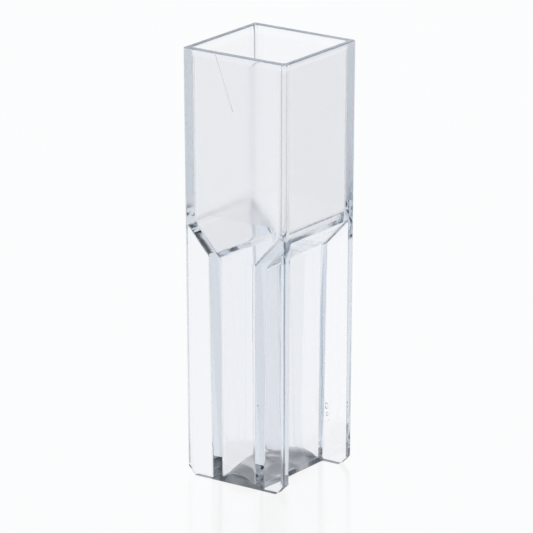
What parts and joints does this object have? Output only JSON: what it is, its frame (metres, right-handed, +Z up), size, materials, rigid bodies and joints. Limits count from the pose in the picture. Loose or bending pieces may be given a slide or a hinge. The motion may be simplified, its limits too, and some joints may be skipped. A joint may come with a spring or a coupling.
{
  "type": "cuvette",
  "caption": "Clear moulded laboratory cuvette: square upper well, sloping shoulders and a narrow light-path chamber between flat window flanges.",
  "frame": {"origin": "centre of the underside, on the surface that the cuvette stands on", "axes": "+Z up to the open rim, the optical windows face -Y and +Y, the recessed sides face -X and +X"},
  "size_m": [0.0124, 0.0124, 0.045],
  "materials": {
    "clear_plastic": "clear, polished as moulded"
  },
  "bodies": {
    "root": {"cuvette_body": "clear_plastic"}
  },
  "joints": []
}
